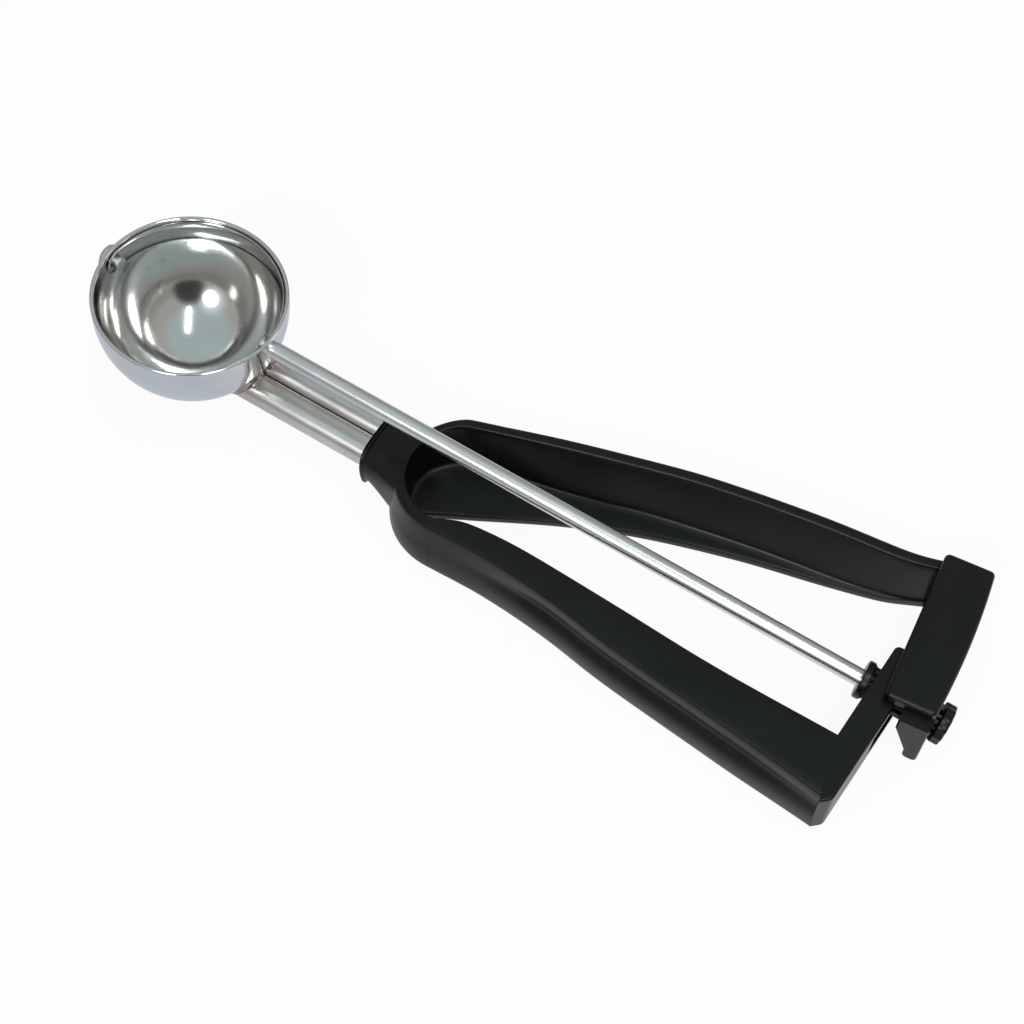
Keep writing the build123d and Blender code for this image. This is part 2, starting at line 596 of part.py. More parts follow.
# ---- end block: top plate, wall on the far arm, and a rear wall toothed along its window's foot ----
wall_front = rod_point(WALL_S - WALL_THICK / 2).X
foot_front = PLATE_BACK - WALL_FOOT
tongue_front = wall_front - TONGUE_OUT
wall_end = swung(Plane(origin=(0, WALL_TIP, 0), x_dir=(1, 0, 0), z_dir=(0, -1, 0)), FAR_SQUEEZE / 2)
with BuildPart() as end_block:
    with BuildSketch(far_mid.offset(ARM_H + GAP)):
        with BuildLine():
            Line((PLATE_FRONT, PLATE_NEAR), (PLATE_FRONT, PLATE_FAR))
            Line((PLATE_FRONT, PLATE_FAR), (PLATE_BACK, PLATE_FAR))
            SagittaArc((PLATE_BACK, PLATE_FAR), (PLATE_BACK, PLATE_NEAR), PLATE_BULGE)
            Line((PLATE_BACK, PLATE_NEAR), (PLATE_FRONT, PLATE_NEAR))
        make_face()
    extrude(amount=PLATE)
    fillet(end_block.edges().filter_by(Axis.Z), CORNER_ROUND)
    fillet(end_block.faces().sort_by(Axis.Z)[-1].edges(), EDGE_ROUND)
    with BuildSketch(far_mid.offset(WALL_BASE)):
        with Locations((PLATE_FRONT, PLATE_FAR)):
            cheek = Rectangle(PLATE_BACK - PLATE_FRONT, CHEEK, align=(Align.MIN, Align.MAX))
        fillet(cheek.vertices().sort_by(Axis.Y)[-2:], CORNER_ROUND)
    extrude(amount=ARM_H + GAP - WALL_BASE)
    with BuildSketch(wall_end):
        with BuildLine():
            Line((wall_front, ARM_H + GAP), (wall_front, WALL_TAPER))
            Spline((wall_front, WALL_TAPER), (foot_front, WALL_FOOT), tangents=((0, -1), (0, -1)))
            Line((foot_front, WALL_FOOT), (foot_front, WALL_BASE))
            Line((foot_front, WALL_BASE), (PLATE_BACK, WALL_BASE))
            Line((PLATE_BACK, WALL_BASE), (PLATE_BACK, ARM_H + GAP))
            Line((PLATE_BACK, ARM_H + GAP), (wall_front, ARM_H + GAP))
        foot = make_face().vertices().sort_by(Axis.Y)[:2]
        fillet(foot, TOE_ROUND)
    extrude(amount=WALL_TIP - PLATE_FAR + CHEEK / 2)
    with BuildSketch(wall_end):
        Polygon(
            (tongue_front, ARM_H + GAP),
            (tongue_front, TONGUE_TOP),
            (foot_front, WALL_FOOT),
            (PLATE_BACK - TOE_ROUND, WALL_FOOT),
            (PLATE_BACK - TOE_ROUND, ARM_H + GAP),
            align=None,
        )
    extrude(amount=-TONGUE_THICK)
    fillet(end_block.faces().sort_by(Axis.Y)[0].edges().sort_by(Axis.Z)[:-1], FOOT_ROUND)
    cut_window(swung(across_rod(WALL_S), FAR_SQUEEZE / 2), -1)
    for place, start, stop in RULES:
        with BuildSketch(Plane.XY.offset(BLOCK_TOP)):
            with Locations((PLATE_FRONT + place, (start + stop) / 2)):
                Rectangle(RULE_W, start - stop)
        extrude(amount=RULE_H)
save(end_block.part, "end_block")

# ---- pinion: a collar in front of the rack bar and teeth long enough for both racks ----
with BuildPart() as pinion:
    with BuildSketch(across_rod(COLLAR_S)):
        Circle(COLLAR_R)
    extrude(amount=COLLAR_LONG)
    chamfer(pinion.edges().filter_by(GeomType.CIRCLE), COLLAR_CHAMFER)
    with BuildSketch(across_rod(COLLAR_S)):
        keyed_bore()
    extrude(amount=COLLAR_LONG, mode=Mode.SUBTRACT)
    with BuildSketch(across_rod(COLLAR_S + COLLAR_LONG)) as teeth:
        with BuildLine() as outline:
            Polyline(*gear_outline(), close=True)
        make_face(outline.edges())
        with BuildSketch(mode=Mode.SUBTRACT):
            keyed_bore()
    extrude(teeth.sketch, amount=KNOB_S - COLLAR_S - COLLAR_LONG)
save(pinion.part, "pinion")

# ---- end knob: caps the rod behind the end block ----
with BuildPart() as end_knob:
    with BuildSketch(across_rod(KNOB_S)):
        Circle(KNOB_R)
        with PolarLocations(KNOB_R, KNOB_SPAN):
            Circle(KNOB_NOTCH_R, mode=Mode.SUBTRACT)
    extrude(amount=KNOB_LONG)
    with BuildSketch(across_rod(KNOB_S)):
        keyed_bore()
    extrude(amount=rod_end - KNOB_S + SEATED, mode=Mode.SUBTRACT)
save(end_knob.part, "end_knob")

print("squeeze", round(SQUEEZE, 3), "far", round(FAR_SQUEEZE, 4), "sweep", round(SWEEP, 3))
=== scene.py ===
"""Dresses a squeeze-handle ice cream scoop: polished steel bowl, shank and rod, black moulded handle."""

from math import atan2, copysign, cos, pi, radians, sin, tan

import bmesh
import bpy
from mathutils import Matrix, Vector


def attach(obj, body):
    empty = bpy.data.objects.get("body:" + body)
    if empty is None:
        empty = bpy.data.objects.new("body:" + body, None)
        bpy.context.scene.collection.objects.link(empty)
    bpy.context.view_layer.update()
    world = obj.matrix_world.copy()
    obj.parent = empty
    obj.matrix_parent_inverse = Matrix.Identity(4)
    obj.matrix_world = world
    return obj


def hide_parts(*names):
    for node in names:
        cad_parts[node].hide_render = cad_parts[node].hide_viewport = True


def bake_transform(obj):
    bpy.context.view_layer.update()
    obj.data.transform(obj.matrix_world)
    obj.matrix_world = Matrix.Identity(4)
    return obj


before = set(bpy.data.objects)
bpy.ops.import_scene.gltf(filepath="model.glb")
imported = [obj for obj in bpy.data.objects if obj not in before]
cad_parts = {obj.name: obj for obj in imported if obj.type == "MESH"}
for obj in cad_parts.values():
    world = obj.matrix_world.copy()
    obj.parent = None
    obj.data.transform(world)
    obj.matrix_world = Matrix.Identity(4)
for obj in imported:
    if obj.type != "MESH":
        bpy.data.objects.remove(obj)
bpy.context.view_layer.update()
MM = 0.001
bpy.context.scene.view_settings.view_transform = "Standard"

# ---- camera ----
CAMERA_AT = Vector((0.12119, -0.1665, 0.30806))
CAMERA_RIGHT = Vector((0.8671, 0.4981, -0.003))
CAMERA_BACK = Vector((0.2707, -0.4662, 0.8422))
LENS = 56.25
SENSOR = 36.0
NEAREST = 0.01


def place_camera():
    """Looks down at the scoop from the near arm's side."""
    back = CAMERA_BACK.normalized()
    right = (CAMERA_RIGHT - CAMERA_RIGHT.dot(back) * back).normalized()
    turn = Matrix((right, back.cross(right), back)).transposed().to_4x4()
    data = bpy.data.cameras.new("camera")
    data.lens = LENS
    data.sensor_width = SENSOR
    data.clip_start = NEAREST
    camera = bpy.data.objects.new("camera", data)
    camera.matrix_world = Matrix.Translation(CAMERA_AT) @ turn
    bpy.context.scene.collection.objects.link(camera)
    bpy.context.scene.camera = camera


# ---- small tools for node trees ----
def new_material(name):
    """An empty node material and its node tree."""
    material = bpy.data.materials.new(name)
    material.use_nodes = True
    material.node_tree.nodes.clear()
    return material, material.node_tree


def node(tree, kind, **inputs):
    """A new node with these input values; underscores in the names stand for spaces."""
    made = tree.nodes.new(kind)
    for name, value in inputs.items():
        made.inputs[name.replace("_", " ")].default_value = value
    return made


def math_node(tree, operation, first, second):
    """A Math node over a socket and a second value or socket."""
    made = tree.nodes.new("ShaderNodeMath")
    made.operation = operation
    tree.links.new(first, made.inputs[0])
    if isinstance(second, bpy.types.NodeSocket):
        tree.links.new(second, made.inputs[1])
    else:
        made.inputs[1].default_value = second
    return made.outputs[0]


def ramp(tree, source, *stops):
    """A colour ramp over a value, with stops of a place and a colour or a grey value."""
    made = tree.nodes.new("ShaderNodeValToRGB")
    while len(made.color_ramp.elements) < len(stops):
        made.color_ramp.elements.new(0.5)
    for element, (place, colour) in zip(made.color_ramp.elements, stops):
        element.position = place
        element.color = (*colour, 1) if hasattr(colour, "__len__") else (colour, colour, colour, 1)
    tree.links.new(source, made.inputs[0])
    return made.outputs[0]


def tint(tree, base, share, colour):
    """The base colour turned to another by a share."""
    made = tree.nodes.new("ShaderNodeMix")
    made.data_type = "RGBA"
    tree.links.new(share, made.inputs["Factor"])
    tree.links.new(base, made.inputs["A"])
    made.inputs["B"].default_value = (*colour, 1)
    return made.outputs["Result"]


def noise(tree, place, scale, detail, rough):
    """A noise pattern read at a place."""
    made = node(tree, "ShaderNodeTexNoise", Scale=scale, Detail=detail, Roughness=rough)
    tree.links.new(place, made.inputs["Vector"])
    return made.outputs["Fac"]


def relief(tree, surface, grain, strength, depth):
    """Fine relief on a surface, whose depth is in millimetres."""
    made = node(tree, "ShaderNodeBump", Strength=strength, Distance=depth * MM)
    tree.links.new(grain, made.inputs["Height"])
    tree.links.new(made.outputs[0], surface.inputs["Normal"])


def mix_shaders(tree, share, first, second):
    """The first shader turned to the second by a share."""
    made = tree.nodes.new("ShaderNodeMixShader")
    for value, socket in zip((share, first, second), made.inputs):
        tree.links.new(value, socket)
    return made.outputs[0]


def show(tree, shader, kind="ShaderNodeOutputMaterial"):
    """Links a shader to the tree's output."""
    out = tree.nodes.new(kind)
    tree.links.new(shader, out.inputs[0])


# ---- floor, room and lamps, in metres ----
FLOOR_HALF = 3.0
FLOOR_DOWN = 0.1                     # millimetres that the floor lies below the handle
FLOOR_SHARE = 0.93                   # how much of the floor's look is plain; the rest keeps the shadow
FLOOR_TONE = (0.86, 0.86, 0.86, 1)
BOWL_SHADED_TABLE = (0.56, 0.61, 0.68)      # the bluish table with painted shade, as the steel shows it under the bowl, up to this x
BOWL_SHADE_TO = -0.04
HANDLE_LIT_TABLE = (0.95, 0.96, 0.97)    # and the table painted lighter beside the handle, from this x
HANDLE_LIGHT_FROM = 0.03
RAMP_SHIFT = 0.1                     # brings both places above the ramp's zero
TABLE_EDGE = (0.20, 0.17, 0.15)      # the table's edge comes in between these distances from the middle
TABLE_EDGE_FROM = 0.30
TABLE_EDGE_TO = 0.75
CEILING = (0.44, 0.53, 0.54)
UPPER_WALL = (0.44, 0.44, 0.43)
LOWER_WALL = (0.33, 0.32, 0.31)
# The room's tones from level, at 0, to straight up, at 1.
ROOM_BANDS = (
    (0.0, LOWER_WALL),
    (0.45, LOWER_WALL),
    (0.60, UPPER_WALL),
    (0.72, UPPER_WALL),
    (0.83, CEILING),
)
# Round patches of the room: their direction, half width and softness in degrees, and colour.
ROOM_PATCHES = (
    (Vector((0.11, -0.70, 0.70)), 13.0, 9.0, (0.66, 0.72, 0.74)),     # the glow round the lamp
    (Vector((0.60, -0.60, 0.50)), 18.0, 6.0, (0.06, 0.055, 0.06)),    # a dark figure behind the camera
    (Vector((0.80, 0.51, 0.33)), 5.0, 3.5, (3.0, 3.0, 3.0)),          # a small bright window
)


def floor_material():
    """A pale matt floor: white to the camera; in the steel, a bluish table top with painted shade under the
    bowl, painted light beside the handle and a darker edge.
    """
    material, tree = new_material("pale_floor")
    place = tree.nodes.new("ShaderNodeTexCoord").outputs["Object"]
    reach = tree.nodes.new("ShaderNodeVectorMath")
    reach.operation = "LENGTH"
    tree.links.new(place, reach.inputs[0])
    split = tree.nodes.new("ShaderNodeSeparateXYZ")
    tree.links.new(place, split.inputs[0])
    beside = math_node(tree, "ADD", split.outputs["X"], RAMP_SHIFT)
    # In the steel the table shows painted shade under the bowl, which turns to painted light beside the
    # handle.
    bowl_shade_end = (RAMP_SHIFT + BOWL_SHADE_TO, BOWL_SHADED_TABLE)
    handle_light_end = (RAMP_SHIFT + HANDLE_LIGHT_FROM, HANDLE_LIT_TABLE)
    edge = ramp(tree, reach.outputs["Value"], (TABLE_EDGE_FROM, 0.0), (TABLE_EDGE_TO, 1.0))
    table = node(tree, "ShaderNodeEmission", Strength=1.0)
    top = ramp(tree, beside, bowl_shade_end, handle_light_end)
    tree.links.new(tint(tree, top, edge, TABLE_EDGE), table.inputs["Color"])
    matt = node(tree, "ShaderNodeBsdfDiffuse", Color=FLOOR_TONE)
    white = node(tree, "ShaderNodeEmission", Color=(1, 1, 1, 1), Strength=1.0)
    ray = tree.nodes.new("ShaderNodeLightPath").outputs
    seen_share = math_node(tree, "MULTIPLY", ray["Is Camera Ray"], FLOOR_SHARE)
    seen = mix_shaders(tree, seen_share, matt.outputs[0], white.outputs[0])
    gloss = math_node(tree, "MAXIMUM", ray["Is Glossy Ray"], ray["Is Transmission Ray"])
    gloss_share = math_node(tree, "MULTIPLY", gloss, FLOOR_SHARE)
    show(tree, mix_shaders(tree, gloss_share, seen, table.outputs[0]))
    return material


def lay_floor():
    """A wide flat floor under the handle."""
    mesh = bpy.data.meshes.new("floor")
    shape = bmesh.new()
    bmesh.ops.create_grid(shape, x_segments=1, y_segments=1, size=FLOOR_HALF)
    bmesh.ops.translate(shape, verts=shape.verts, vec=(0, 0, -FLOOR_DOWN * MM))
    shape.to_mesh(mesh)
    shape.free()
    mesh.materials.append(floor_material())
    floor = bpy.data.objects.new("floor", mesh)
    bpy.context.scene.collection.objects.link(floor)


def patch(tree, direction, toward, wide, soft):
    """How far a direction lies inside a round patch of the room, from 0 to 1."""
    dot = tree.nodes.new("ShaderNodeVectorMath")
    dot.operation = "DOT_PRODUCT"
    dot.inputs[1].default_value = toward.normalized()
    tree.links.new(direction, dot.inputs[0])
    edge = tree.nodes.new("ShaderNodeMapRange")
    edge.interpolation_type = "SMOOTHSTEP"
    edge.inputs["From Min"].default_value = cos(radians(wide + soft))
    edge.inputs["From Max"].default_value = cos(radians(wide - soft))
    tree.links.new(dot.outputs["Value"], edge.inputs["Value"])
    return edge.outputs[0]


def light_world():
    """A room with a pale ceiling, warmer walls and round patches, and white where the camera looks."""
    world = bpy.data.worlds.new("room")
    world.use_nodes = True
    bpy.context.scene.world = world
    tree = world.node_tree
    tree.nodes.clear()
    direction = tree.nodes.new("ShaderNodeTexCoord").outputs["Generated"]
    split = tree.nodes.new("ShaderNodeSeparateXYZ")
    tree.links.new(direction, split.inputs[0])
    tone = ramp(tree, split.outputs["Z"], *ROOM_BANDS)
    for toward, wide, soft, colour in ROOM_PATCHES:
        tone = tint(tree, tone, patch(tree, direction, toward, wide, soft), colour)
    room = node(tree, "ShaderNodeBackground", Strength=1.0)
    tree.links.new(tone, room.inputs["Color"])
    white = node(tree, "ShaderNodeBackground", Color=(1, 1, 1, 1), Strength=1.0)
    seen = tree.nodes.new("ShaderNodeLightPath").outputs["Is Camera Ray"]
    show(tree, mix_shaders(tree, seen, room.outputs[0], white.outputs[0]), "ShaderNodeOutputWorld")


def hang_lamp(name, at, long_side, size, power, colour=(1, 1, 1)):
    """A soft lamp that faces the scoop: a disc for one size, or a rectangle with its long side as given."""
    data = bpy.data.lights.new(name, "AREA")
    data.shape = "DISK" if len(size) == 1 else "RECTANGLE"
    data.size = size[0]
    if len(size) == 2:
        data.size_y = size[1]
    data.energy = power
    data.color = colour
    lamp = bpy.data.objects.new(name, data)
    away = Vector(at).normalized()
    side = (Vector(long_side) - Vector(long_side).dot(away) * away).normalized()
    turn = Matrix((side, away.cross(side), away)).transposed().to_4x4()
    lamp.matrix_world = Matrix.Translation(at) @ turn
    bpy.context.scene.collection.objects.link(lamp)


# ---- handle: one moulding with a bend and two arms, in millimetres ----
ARM_H = 14.0            # the handle's height
HINGE_X = 12.7          # where the bend ends and the arms start
WEB = 3.1               # an arm's wall
BEND_WALL = 2.9         # the bend's wall, which becomes the arm's over a short length
WALL_CHANGE = 12.0
RIB_OUT = 2.1           # how far the lower band stands out, on the arms and at the bend's front
BEND_FOOT = 1.2
BEND_R = 16.0           # the bend's outside, and its reach to either side at the hinge line
BEND_NEAR = 16.3
BEND_FAR = 15.6
BEND_CORNER = 12.3      # the tighter turn into the far arm, and the slant of the leg after it in degrees
BEND_LEG = 15.0
SHELF = 2.6             # thickness of the far arm's shelf, and its free edge at the hinge line
SHELF_Y = -4.3
FLANGE = 3.0            # thickness of the near arm's flange, and the height of its underside
UNDER = ARM_H - FLANGE
EDGE_ROUND = 0.35
FOOT_ROUND = 0.4
ROOT_ROUND = 1.3        # rounding where the far wall meets the shelf
ROOT_BULGE = (0.15, 0.3)    # the rounding's middle point: in and up, as shares of it
SHELF_LEAST = 0.3       # least width of the shelf, and how much of its width the rounding may take
ROOT_SHARE = 0.6
SHELF_TIP = 0.25        # rounding of the shelf's upper edge, as a share of the root's
TOP_EDGE = ((-1.3, 0.0), (-0.3, -0.3))     # the top's outer edge: how far out, and how far up from the top
FOOT_EDGE = ((0.93, 0.25), (0.72, 0.0))    # the foot: share of the lower band, and height
# Lines in plan, x and y. OUT is an arm's outer side at the top; FLANGE and SHELF are their free edges.
NEAR_OUT = (
    (HINGE_X, -BEND_NEAR),
    (27.0, -16.7),
    (44.0, -18.9),
    (60.0, -22.3),
    (95.0, -27.8),
    (112.2, -31.2),
)
NEAR_FLANGE = (
    (HINGE_X, BEND_WALL - BEND_NEAR),
    (14.6, -11.9),
    (18.0, -10.8),
    (24.0, -10.4),
    (30.6, -10.4),
    (38.0, -10.9),
    (58.3, -12.9),
    (81.0, -15.3),
    (109.6, -16.9),
)
# RIB is how much of the lower band's full width stands out at x.
NEAR_RIB = ((HINGE_X, 1.0), (95.0, 1.0), (112.2, 0.5))
FAR_OUT = (
    (HINGE_X, BEND_FAR),
    (27.0, 19.5),
    (44.0, 23.4),
    (60.0, 26.6),
    (86.0, 29.5),
    (106.1, 30.5),
    (109.8, 31.1),
    (113.9, 32.2),
)
FAR_SHELF = (
    (HINGE_X, SHELF_Y),
    (19.8, -0.9),
    (27.7, 2.9),
    (35.8, 6.5),
    (51.4, 12.1),
    (73.2, 17.6),
    (90.5, 20.7),
    (103.1, 23.3),
    (108.0, 24.7),
    (111.0, 26.4),
    (113.9, 27.4),
)
# ROOT is where the wall's leaning hand side meets the shelf.
FAR_ROOT = (
    (HINGE_X, 10.1),
    (16.0, 10.9),
    (25.0, 12.1),
    (32.0, 13.2),
    (40.0, 15.0),
    (48.0, 17.0),
    (74.0, 20.9),
    (96.0, 23.1),
    (107.0, 25.3),
    (113.9, 28.0),
)
FAR_RIB = ((HINGE_X, 0.3), (27.0, 1.0), (86.0, 1.0), (106.0, 0.7), (113.6, 0.1))
VALLEY = ((HINGE_X, 0.0), (24.0, 0.0), (42.0, 1.0), (113.6, 1.0))    # depth of the groove between the bands
# The outer side of an arm: height, how far out without the groove and with it, as shares of the lower band.
SIDE = (
    (13.0, 0.0, 0.0),
    (11.4, 0.14, 0.08),
    (9.6, 0.30, 0.0),
    (8.1, 0.45, -0.24),
    (7.0, 0.58, 0.30),
    (5.6, 0.76, 0.86),
    (3.6, 0.92, 1.0),
    (1.4, 1.0, 1.0),
)
# The hand side from the wall's foot up to the flange's edge: heights from the flange's underside.
BARE_RISE = (-1.6, -0.6, -0.2, 0.1, 0.35)
FLANGE_RISE = (-1.4, -0.3, 0.0, 0.0, 0.35)
FLANGE_ROOT = (0.35, 1.3)       # how far in the underside's rounding reaches, and how round its tip is
FLANGE_TIP = 0.4
FLANGE_FULL = 2.0               # width at which the flange has its full form
NEAR_END_X = (109.65, 112.24)   # the near arm's slanted end, at the flange's edge and at the foot
NEAR_END_Y = (-16.9, -32.25)
NEAR_LEAN_FROM = 90.0
NEAR_RINGS = 24
FAR_END = 113.9
FAR_RINGS = 26
OVERLAP = 1.0           # how far an arm reaches into the bend, and the bend's hidden end into an arm
OVERLAP_END = 2.2
OVERLAP_IN = 0.3        # how far the hidden ends are drawn in
NEAR_CURVE = 0.03       # how far the bend has curved in at the near arm's hidden end


def mix(start, stop, share):
    """The value so far along from start to stop."""
    return start + share * (stop - start)


def part_way(value, start, stop):
    """How far a value lies on the way from start to stop, kept within 0 and 1."""
    return min(1.0, max(0.0, (value - start) / (stop - start)))


def smooth(share):
    """A share that starts and ends softly."""
    return share * share * (3 - 2 * share)


def along(points, x):
    """The y at x of a smooth curve through points in plan."""
    last = len(points) - 2
    step = 0
    while step < last and x > points[step + 1][0]:
        step += 1
    (x0, y0), (x1, y1) = points[step], points[step + 1]

    def slope(place):
        before, after = points[max(place - 1, 0)], points[min(place + 1, last + 1)]
        return (after[1] - before[1]) / (after[0] - before[0])

    t = part_way(x, x0, x1)
    rise = (x1 - x0) * (t * (1 - t) ** 2 * slope(step) - t * t * (1 - t) * slope(step + 1))
    return mix(y0, y1, smooth(t)) + rise


def straight(points, x):
    """The value at x on straight lines through points."""
    for (x0, y0), (x1, y1) in zip(points, points[1:]):
        if x <= x1:
            return mix(y0, y1, part_way(x, x0, x1))
    return points[-1][1]


def wall_section(rib, valley, inner):
    """The wall's outline from the inner top edge over the top and down the outer side to the foot."""
    section = [(inner, ARM_H - EDGE_ROUND), (inner + EDGE_ROUND, ARM_H)]
    section += [(away, ARM_H + up) for away, up in TOP_EDGE]
    section += [(rib * mix(plain, lobed, valley), height) for height, plain, lobed in SIDE]
    section += [(rib * share, height) for share, height in FOOT_EDGE]
    return section


def arm_wall(x):
    """The wall of an arm at x."""
    return mix(BEND_WALL, WEB, part_way(x, HINGE_X, HINGE_X + WALL_CHANGE))


def near_section(x):
    """The near arm's section: a wall with a flange along its inner top edge. Pairs of y and z."""
    out, wall = along(NEAR_OUT, x), arm_wall(x)
    wide = max(0.0, along(NEAR_FLANGE, x) - out - wall)
    full = part_way(wide, 0.0, FLANGE_FULL)
    section = wall_section(RIB_OUT * straight(NEAR_RIB, x), straight(VALLEY, x), -wall - wide)
    section += [(FOOT_ROUND - wall, 0.0), (-wall, FOOT_ROUND)]
    steps_in = (0.0, FLANGE_ROOT[0] * full, FLANGE_ROOT[1] * full, wide - FLANGE_TIP * full, wide)
    for step, bare, flanged in zip(steps_in, BARE_RISE, FLANGE_RISE):
        section.append((-wall - step, UNDER + mix(bare, flanged, full)))
    return [(out - away, z) for away, z in section]


def far_section(x):
    """The far arm's section: a wall with a shelf that reaches inwards. Pairs of y and z."""
    out = along(FAR_OUT, x)
    reach = out - along(FAR_SHELF, x)
    root = min(out - along(FAR_ROOT, x), reach - SHELF_LEAST)
    wide = min(ROOT_ROUND, ROOT_SHARE * (reach - root))
    section = wall_section(RIB_OUT * straight(FAR_RIB, x), straight(VALLEY, x), -arm_wall(x))
    section += [
        (EDGE_ROUND - reach, 0.0),
        (-reach, EDGE_ROUND),
        (-reach, SHELF - FOOT_ROUND),
        (SHELF_TIP * wide - reach, SHELF),
        (-root - wide, SHELF),
        (-root - ROOT_BULGE[0] * wide, SHELF + ROOT_BULGE[1] * ROOT_ROUND),
        (EDGE_ROUND - root, SHELF + ROOT_ROUND),
    ]
    return [(out + away, z) for away, z in section]


def start_ring(shape, places):
    """A closed ring of edges through the places."""
    verts = [shape.verts.new(place) for place in places]
    for first, second in zip(verts, verts[1:] + verts[:1]):
        shape.edges.new((first, second))
    return verts


def next_ring(shape, verts, places):
    """The ring carried on to new places, with faces between."""
    edges = [shape.edges.get((a, b)) for a, b in zip(verts, verts[1:] + verts[:1])]
    made = bmesh.ops.extrude_edge_only(shape, edges=edges)["geom"]
    fresh = {item for item in made if isinstance(item, bmesh.types.BMVert)}
    follow = []
    for vert in verts:
        others = [edge.other_vert(vert) for edge in vert.link_edges]
        follow.append(next(other for other in others if other in fresh))
    for vert, place in zip(follow, places):
        vert.co = place
    return follow


def skin(rings):
    """A closed shape through a row of rings, with flat sharp ends."""
    shape = bmesh.new()
    verts = start_ring(shape, rings[0])
    ends = [verts]
    for places in rings[1:]:
        verts = next_ring(shape, verts, places)
    ends.append(verts)
    crease = shape.edges.layers.float.new("crease_edge")
    for end in ends:
        cap = shape.faces.new(end)
        for first, second in zip(end, end[1:] + end[:1]):
            edge = shape.edges.get((first, second))
            edge[crease] = 1.0
            edge.smooth = False
        bmesh.ops.triangulate(shape, faces=[cap])
    bmesh.ops.recalc_face_normals(shape, faces=shape.faces)
    return shape


def piece(name, shape, material, levels=2):
    """An object from a shape in millimetres, shaded smooth."""
    bmesh.ops.scale(shape, vec=(MM, MM, MM), verts=shape.verts)
    mesh = bpy.data.meshes.new(name)
    for face in shape.faces:
        face.smooth = True
    shape.to_mesh(mesh)
    shape.free()
    mesh.materials.append(material)
    made = bpy.data.objects.new(name, mesh)
    bpy.context.scene.collection.objects.link(made)
    if levels:
        finer = made.modifiers.new("finer", "SUBSURF")
        finer.levels = finer.render_levels = levels
    return made


def places_between(start, stop, count):
    """So many places from start to stop, both ends included."""
    return [mix(start, stop, step / (count - 1)) for step in range(count)]


def at_x(x, section, shift=0.0):
    """A section as a ring at x, moved sideways by a shift."""
    return [(x, y + shift, z) for y, z in section]


def drawn_in(ring, by):
    """A ring made smaller all round; a far ring runs the other way and takes a negative distance."""
    drawn = []
    for place, (x, y, z) in enumerate(ring):
        _, y0, z0 = ring[place - 1]
        _, y1, z1 = ring[(place + 1) % len(ring)]
        inwards = Vector((z0 - z1, y1 - y0)).normalized()
        drawn.append((x, y + by * inwards.x, z + by * inwards.y))
    return drawn


def near_arm_rings():
    """The near arm's rings: a hidden end inside the bend, and the last ones leaning to the slanted end."""
    rings = [drawn_in(at_x(HINGE_X - OVERLAP, near_section(HINGE_X), NEAR_CURVE), OVERLAP_IN)]
    lean = (NEAR_END_X[1] - NEAR_END_X[0]) / (NEAR_END_Y[1] - NEAR_END_Y[0])
    for x in places_between(HINGE_X, NEAR_END_X[0], NEAR_RINGS):
        share = part_way(x, NEAR_LEAN_FROM, NEAR_END_X[0])
        rings.append([(x + share * lean * (y - NEAR_END_Y[0]), y, z) for y, z in near_section(x)])
    return rings


def far_arm_rings():
    """The far arm's rings: a hidden end inside the bend, and the arm up to the end block."""
    drop = OVERLAP * tan(radians(BEND_LEG))
    rings = [drawn_in(at_x(HINGE_X - OVERLAP, far_section(HINGE_X), -drop), -OVERLAP_IN)]
    rings += [at_x(x, far_section(x)) for x in places_between(HINGE_X, FAR_END, FAR_RINGS)]
    return rings


# ---- the bend: turns in degrees run from 270 at the near arm to 90 at the far arm ----
NEAR_TURN = 270
FRONT_TURN = 180                # where the tighter turn starts
FAR_TURN = 90
LEG_TURN = FAR_TURN + BEND_LEG
NEAR_TURNS = (NEAR_TURN, 262, 253, 244, 236, 229, 223, 217, 210, 203, 196, 188)
FAR_TURNS = (FRONT_TURN, 172, 163, 154, 145, 136, 127, 118, 110, LEG_TURN, 99, 94, FAR_TURN)
BEND_EASE = 0.1                 # how much flatter the tighter turn is than a true arc, and where most
EASE_SKEW = 0.8
# The wall's upper, lower and hand lines in plan: near reach, radius, far reach and tighter radius.
UPPER_LINE = (BEND_NEAR, BEND_R, BEND_FAR, BEND_CORNER)
FAR_FOOT = FAR_RIB[0][1] * RIB_OUT
LOWER_LINE = (BEND_NEAR + RIB_OUT, BEND_R + BEND_FOOT, BEND_FAR + FAR_FOOT, BEND_CORNER + BEND_FOOT)
HAND_LINE = tuple(size - BEND_WALL for size in UPPER_LINE)
SHELF_TURN = 221.5              # where the shelf leaves the wall, and how its edge's steps are spread
SHELF_SPREAD = 0.8
SHELF_FULL = 1.5                # width at which the shelf has its full form
BESIDE_SHELF = (2.2, 2.7, 3.3, 3.9, 4.5)    # the hand side's heights where the shelf is about to start
LOW_TURNS = (270.0, 235.0)      # where the hand side goes over to them
LEAN_TURNS = (205.0, 105.0)     # where the hand side starts to lean, and leans fully
FULL_LEAN = BEND_FAR - BEND_WALL - FAR_ROOT[0][1]


def bend_corner(front, far, corner):
    """Centre of the tighter turn into the far arm."""
    leg = front - corner * (1 - sin(radians(BEND_LEG)))
    rise = far - corner * cos(radians(BEND_LEG)) - leg * tan(radians(BEND_LEG))
    return Vector((HINGE_X - front + corner, rise))


def bend_point(turn, near, front, far, corner):
    """A point in plan on one of the bend's lines."""
    if turn >= FRONT_TURN:
        centre, radius, angle = Vector((HINGE_X, front - near)), front, radians(turn)
    else:
        centre, radius, angle = bend_corner(front, far, corner), corner, radians(max(turn, LEG_TURN))
    if LEG_TURN < turn < FRONT_TURN:
        radius -= BEND_EASE * radius * sin(pi * part_way(turn, FRONT_TURN, LEG_TURN) ** EASE_SKEW)
    point = centre + radius * Vector((cos(angle), sin(angle)))
    return point.lerp(Vector((HINGE_X, far)), part_way(turn, LEG_TURN, FAR_TURN))


